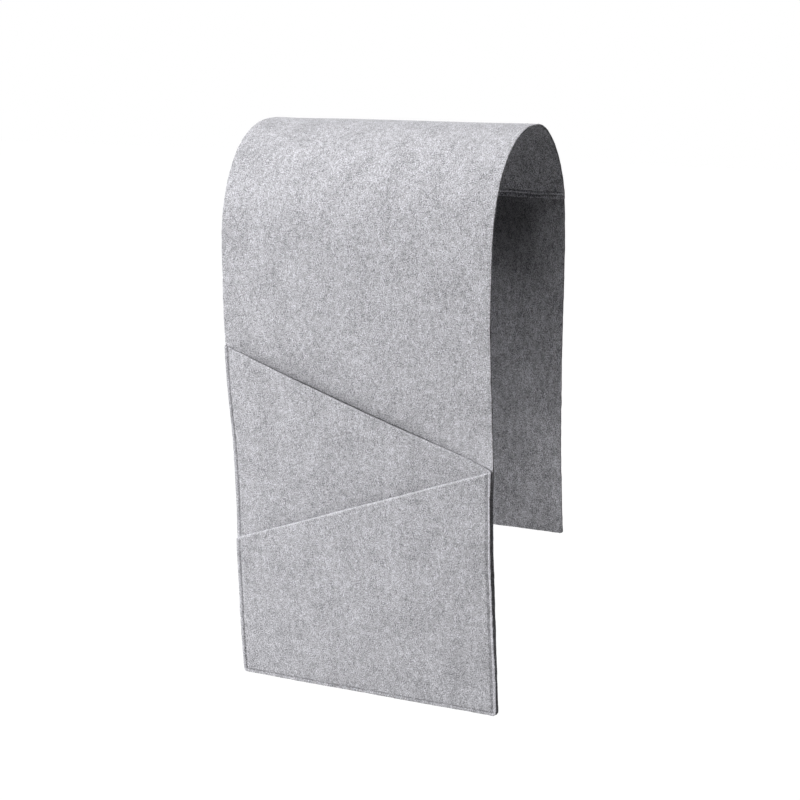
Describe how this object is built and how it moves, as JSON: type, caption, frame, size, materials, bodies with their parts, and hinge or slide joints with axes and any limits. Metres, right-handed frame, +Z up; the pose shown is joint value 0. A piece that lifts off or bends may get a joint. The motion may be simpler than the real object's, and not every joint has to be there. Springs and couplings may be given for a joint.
{
  "type": "remote control holder",
  "caption": "Felt strip that hangs over an armrest like a saddle, with layered slanted pockets sewn on its long front leg and a shorter rear leg.",
  "frame": {"origin": "middle of the level crown's underside, where the holder lies on the armrest", "axes": "+Z up; X across the strip, along the armrest; -Y towards the pocket side, +Y towards the rear leg"},
  "size_m": [0.25, 0.1911, 0.5038],
  "materials": {
    "felt": "needle-punched light grey melange felt, matt, fuzzy, raw cut edges",
    "thread": "twisted polyester sewing thread, light grey, slight sheen"
  },
  "bodies": {
    "saddle": {"strip_saddle": "felt", "rear_panel_seam_band": "felt", "rear_seam_upper_needle_thread": "thread", "rear_seam_upper_bobbin_thread": "thread", "rear_seam_lower_needle_thread": "thread", "rear_seam_lower_bobbin_thread": "thread"},
    "front_flap": {"strip_front_drop": "felt", "pocket_bobbin_thread": "thread"},
    "upper_pocket": {"upper_pocket_panel": "felt", "upper_pocket_needle_thread": "thread"},
    "lower_pocket": {"lower_pocket_panel": "felt", "lower_pocket_needle_thread": "thread"},
    "rear_flap": {"rear_panel_drop": "felt"}
  },
  "joints": [
    {"name": "front_flap_swing", "type": "hinge", "parent": "saddle", "child": "front_flap", "pos_m": [0, -0.079, -0.04274], "axis": [-1, 0, 0], "range_deg": [-3, 90]},
    {"name": "rear_flap_swing", "type": "hinge", "parent": "saddle", "child": "rear_flap", "pos_m": [0, 0.08435, -0.06804], "axis": [1, 0, 0], "range_deg": [-3, 90]},
    {"name": "upper_pocket_open", "type": "hinge", "parent": "front_flap", "child": "upper_pocket", "pos_m": [0, -0.0663, -0.50105], "axis": [1, 0, 0], "range_deg": [0, 4], "stiffness_Nm_per_rad": 0.15, "springref_deg": -6.88},
    {"name": "lower_pocket_open", "type": "hinge", "parent": "front_flap", "child": "lower_pocket", "pos_m": [0, -0.06856, -0.50143], "axis": [1, 0, 0], "range_deg": [0, 8]}
  ],
  "couplings": [
    {"joint": "lower_pocket_open", "follows": "upper_pocket_open", "ratio": 2}
  ]
}
